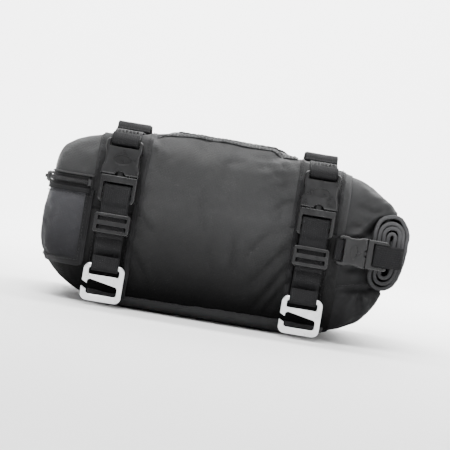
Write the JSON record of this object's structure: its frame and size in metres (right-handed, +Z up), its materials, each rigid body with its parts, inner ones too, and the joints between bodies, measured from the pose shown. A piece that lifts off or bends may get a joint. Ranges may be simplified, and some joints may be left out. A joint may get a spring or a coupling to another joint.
{
  "type": "tail bag",
  "caption": "Soft roll-top tail bag for a motorcycle, with girth straps, side-release buckles, open mounting hooks, a zipped rear pocket and a carry handle.",
  "frame": {"origin": "centre of the underside of the base panel, midway between the two girth straps", "axes": "+X forward to the roll-top end, +Y to the left, +Z up"},
  "size_m": [0.34, 0.2342, 0.1702],
  "materials": {
    "shell_fabric": "matte coated woven fabric, dark grey",
    "pocket_fabric": "matte coated woven fabric, slightly lighter grey",
    "collar_fabric": "thin coated fabric, matte",
    "liner_film": "smooth waterproof film, satin white",
    "base_rubber": "grippy matte rubberised panel",
    "webbing": "woven polyester webbing, matte black",
    "buckle_plastic": "moulded acetal, satin black",
    "grip_rubber": "moulded grip, matte black",
    "hook_alloy": "bright tumbled alloy",
    "zip_tape": "coated zip tape, black",
    "zip_teeth": "moulded coil, black",
    "zip_metal": "black-coated cast alloy",
    "stiffener_plastic": "flexible plastic strip"
  },
  "bodies": {
    "bag": {"main_shell": "shell_fabric", "inner_liner": "liner_film", "base_panel": "base_rubber", "rear_pocket": "pocket_fabric", "zip_tape": "zip_tape", "zip_teeth": "zip_teeth", "zip_end_stops": "zip_metal", "girth_strap_rear": "webbing", "girth_strap_front": "webbing", "docking_loop_rear": "webbing", "docking_loop_front": "webbing", "handle_webbing": "webbing", "collar": "collar_fabric", "closure_tab_right": "webbing", "closure_tab_left": "webbing", "closure_socket_right": "buckle_plastic", "closure_socket_left": "buckle_plastic", "buckle_socket_rear_right": "buckle_plastic", "buckle_socket_rear_left": "buckle_plastic", "buckle_socket_front_right": "buckle_plastic", "buckle_socket_front_left": "buckle_plastic"},
    "strap_rear_right": {"buckle_plug_rear_right": "buckle_plastic", "mount_webbing_rear_right": "webbing"},
    "hook_rear_right": {"g_hook_rear_right": "hook_alloy"},
    "arm_a_rear_right": {"plug_arm_a_rear_right": "buckle_plastic"},
    "arm_b_rear_right": {"plug_arm_b_rear_right": "buckle_plastic"},
    "adjuster_rear_right": {"strap_slider_rear_right": "buckle_plastic"},
    "strap_rear_left": {"buckle_plug_rear_left": "buckle_plastic", "mount_webbing_rear_left": "webbing"},
    "hook_rear_left": {"g_hook_rear_left": "hook_alloy"},
    "arm_a_rear_left": {"plug_arm_a_rear_left": "buckle_plastic"},
    "arm_b_rear_left": {"plug_arm_b_rear_left": "buckle_plastic"},
    "adjuster_rear_left": {"strap_slider_rear_left": "buckle_plastic"},
    "strap_front_right": {"buckle_plug_front_right": "buckle_plastic", "mount_webbing_front_right": "webbing"},
    "hook_front_right": {"g_hook_front_right": "hook_alloy"},
    "arm_a_front_right": {"plug_arm_a_front_right": "buckle_plastic"},
    "arm_b_front_right": {"plug_arm_b_front_right": "buckle_plastic"},
    "adjuster_front_right": {"strap_slider_front_right": "buckle_plastic"},
    "strap_front_left": {"buckle_plug_front_left": "buckle_plastic", "mount_webbing_front_left": "webbing"},
    "hook_front_left": {"g_hook_front_left": "hook_alloy"},
    "arm_a_front_left": {"plug_arm_a_front_left": "buckle_plastic"},
    "arm_b_front_left": {"plug_arm_b_front_left": "buckle_plastic"},
    "adjuster_front_left": {"strap_slider_front_left": "buckle_plastic"},
    "closure": {"closure_plug_right": "buckle_plastic", "closure_plug_left": "buckle_plastic", "closure_strap_right": "webbing", "closure_strap_left": "webbing"},
    "roll": {"rolled_top": "collar_fabric", "lip_stiffener": "stiffener_plastic"},
    "closure_arm_a_right_body": {"closure_arm_a_right": "buckle_plastic"},
    "closure_arm_b_right_body": {"closure_arm_b_right": "buckle_plastic"},
    "closure_arm_a_left_body": {"closure_arm_a_left": "buckle_plastic"},
    "closure_arm_b_left_body": {"closure_arm_b_left": "buckle_plastic"},
    "grip": {"handle_grip": "grip_rubber"},
    "zip_car": {"zip_slider": "zip_metal"},
    "zip_tab": {"zip_pull": "zip_metal"}
  },
  "joints": [
    {"name": "buckle_rear_right", "type": "slide", "parent": "bag", "child": "strap_rear_right", "axis": [0, -0.1219, -0.9925], "range_m": [0, 0.028], "deforming": ["plug_arm_a_rear_right", "plug_arm_b_rear_right"]},
    {"name": "pinch_rear_right", "type": "hinge", "parent": "strap_rear_right", "child": "arm_a_rear_right", "pos_m": [-0.0804, -0.10825, 0.11549], "axis": [0, -0.9925, 0.1219], "range_deg": [0, 11], "stiffness_Nm_per_rad": 0.15},
    {"name": "pinch_rear_right_b", "type": "hinge", "parent": "strap_rear_right", "child": "arm_b_rear_right", "pos_m": [-0.0996, -0.10825, 0.11549], "axis": [0, -0.9925, 0.1219], "range_deg": [-11, 0]},
    {"name": "hook_rear_right", "type": "hinge", "parent": "strap_rear_right", "child": "hook_rear_right", "pos_m": [-0.09, -0.1082, 0.036], "axis": [-1, 0, 0], "range_deg": [0, 110]},
    {"name": "slider_rear_right", "type": "slide", "parent": "strap_rear_right", "child": "adjuster_rear_right", "axis": [0, 0.1219, 0.9925], "range_m": [-0.005, 0.006]},
    {"name": "left_buckle_rear", "type": "slide", "parent": "bag", "child": "strap_rear_left", "axis": [0, 0.1219, -0.9925], "range_m": [0, 0.028], "deforming": ["plug_arm_a_rear_left", "plug_arm_b_rear_left"]},
    {"name": "left_pinch_rear", "type": "hinge", "parent": "strap_rear_left", "child": "arm_a_rear_left", "pos_m": [-0.0996, 0.10825, 0.11549], "axis": [0, 0.9925, 0.1219], "range_deg": [0, 11], "stiffness_Nm_per_rad": 0.15},
    {"name": "left_pinch_rear_b", "type": "hinge", "parent": "strap_rear_left", "child": "arm_b_rear_left", "pos_m": [-0.0804, 0.10825, 0.11549], "axis": [0, 0.9925, 0.1219], "range_deg": [-11, 0]},
    {"name": "left_hook_rear", "type": "hinge", "parent": "strap_rear_left", "child": "hook_rear_left", "pos_m": [-0.09, 0.1082, 0.036], "axis": [1, 0, 0], "range_deg": [0, 110]},
    {"name": "left_slider_rear", "type": "slide", "parent": "strap_rear_left", "child": "adjuster_rear_left", "axis": [0, -0.1219, 0.9925], "range_m": [-0.005, 0.006]},
    {"name": "buckle_front_right", "type": "slide", "parent": "bag", "child": "strap_front_right", "axis": [0, -0.1219, -0.9925], "range_m": [0, 0.028], "deforming": ["plug_arm_a_front_right", "plug_arm_b_front_right"]},
    {"name": "pinch_front_right", "type": "hinge", "parent": "strap_front_right", "child": "arm_a_front_right", "pos_m": [0.0996, -0.10825, 0.11549], "axis": [0, -0.9925, 0.1219], "range_deg": [0, 11], "stiffness_Nm_per_rad": 0.15},
    {"name": "pinch_front_right_b", "type": "hinge", "parent": "strap_front_right", "child": "arm_b_front_right", "pos_m": [0.0804, -0.10825, 0.11549], "axis": [0, -0.9925, 0.1219], "range_deg": [-11, 0]},
    {"name": "hook_front_right", "type": "hinge", "parent": "strap_front_right", "child": "hook_front_right", "pos_m": [0.09, -0.1082, 0.036], "axis": [-1, 0, 0], "range_deg": [0, 110]},
    {"name": "slider_front_right", "type": "slide", "parent": "strap_front_right", "child": "adjuster_front_right", "axis": [0, 0.1219, 0.9925], "range_m": [-0.005, 0.006]},
    {"name": "left_buckle_front", "type": "slide", "parent": "bag", "child": "strap_front_left", "axis": [0, 0.1219, -0.9925], "range_m": [0, 0.028], "deforming": ["plug_arm_a_front_left", "plug_arm_b_front_left"]},
    {"name": "left_pinch_front", "type": "hinge", "parent": "strap_front_left", "child": "arm_a_front_left", "pos_m": [0.0804, 0.10825, 0.11549], "axis": [0, 0.9925, 0.1219], "range_deg": [0, 11], "stiffness_Nm_per_rad": 0.15},
    {"name": "left_pinch_front_b", "type": "hinge", "parent": "strap_front_left", "child": "arm_b_front_left", "pos_m": [0.0996, 0.10825, 0.11549], "axis": [0, 0.9925, 0.1219], "range_deg": [-11, 0]},
    {"name": "left_hook_front", "type": "hinge", "parent": "strap_front_left", "child": "hook_front_left", "pos_m": [0.09, 0.1082, 0.036], "axis": [1, 0, 0], "range_deg": [0, 110]},
    {"name": "left_slider_front", "type": "slide", "parent": "strap_front_left", "child": "adjuster_front_left", "axis": [0, -0.1219, 0.9925], "range_m": [-0.005, 0.006]},
    {"name": "closure_pull", "type": "slide", "parent": "bag", "child": "closure", "axis": [1, 0, 0], "range_m": [0, 0.06], "deforming": ["collar", "closure_arm_a_right", "closure_arm_b_right", "closure_arm_a_left", "closure_arm_b_left"]},
    {"name": "roll_turn", "type": "hinge", "parent": "closure", "child": "roll", "pos_m": [0.162, 0, 0.088], "axis": [0, 1, 0], "range_deg": [0, 181]},
    {"name": "snap_right", "type": "hinge", "parent": "closure", "child": "closure_arm_a_right_body", "pos_m": [0.14156, -0.1066, 0.09368], "axis": [0, -1, 0], "range_deg": [0, 11], "stiffness_Nm_per_rad": 0.0768},
    {"name": "snap_right_b", "type": "hinge", "parent": "closure", "child": "closure_arm_b_right_body", "pos_m": [0.14156, -0.1066, 0.07832], "axis": [0, -1, 0], "range_deg": [-11, 0]},
    {"name": "left_snap", "type": "hinge", "parent": "closure", "child": "closure_arm_a_left_body", "pos_m": [0.14156, 0.1066, 0.07832], "axis": [0, 1, 0], "range_deg": [0, 11], "stiffness_Nm_per_rad": 0.0768},
    {"name": "left_snap_b", "type": "hinge", "parent": "closure", "child": "closure_arm_b_left_body", "pos_m": [0.14156, 0.1066, 0.09368], "axis": [0, 1, 0], "range_deg": [-11, 0]},
    {"name": "grip_lift", "type": "slide", "parent": "bag", "child": "grip", "axis": [0, 0, 1], "range_m": [0, 0.018], "deforming": ["handle_webbing"]},
    {"name": "zip_run", "type": "slide", "parent": "bag", "child": "zip_car", "axis": [0, 1, 0], "range_m": [0, 0.136]},
    {"name": "zip_tab_turn", "type": "hinge", "parent": "zip_car", "child": "zip_tab", "pos_m": [-0.158, -0.068, 0.108], "axis": [0, 0, 1], "range_deg": [0, 170]}
  ],
  "couplings": [
    {"joint": "pinch_rear_right_b", "follows": "pinch_rear_right", "ratio": -1},
    {"joint": "left_pinch_rear_b", "follows": "left_pinch_rear", "ratio": -1},
    {"joint": "pinch_front_right_b", "follows": "pinch_front_right", "ratio": -1},
    {"joint": "left_pinch_front_b", "follows": "left_pinch_front", "ratio": -1},
    {"joint": "roll_turn", "follows": "closure_pull", "rad_per_m": 52.36},
    {"joint": "snap_right_b", "follows": "snap_right", "ratio": -1},
    {"joint": "left_snap_b", "follows": "left_snap", "ratio": -1}
  ]
}
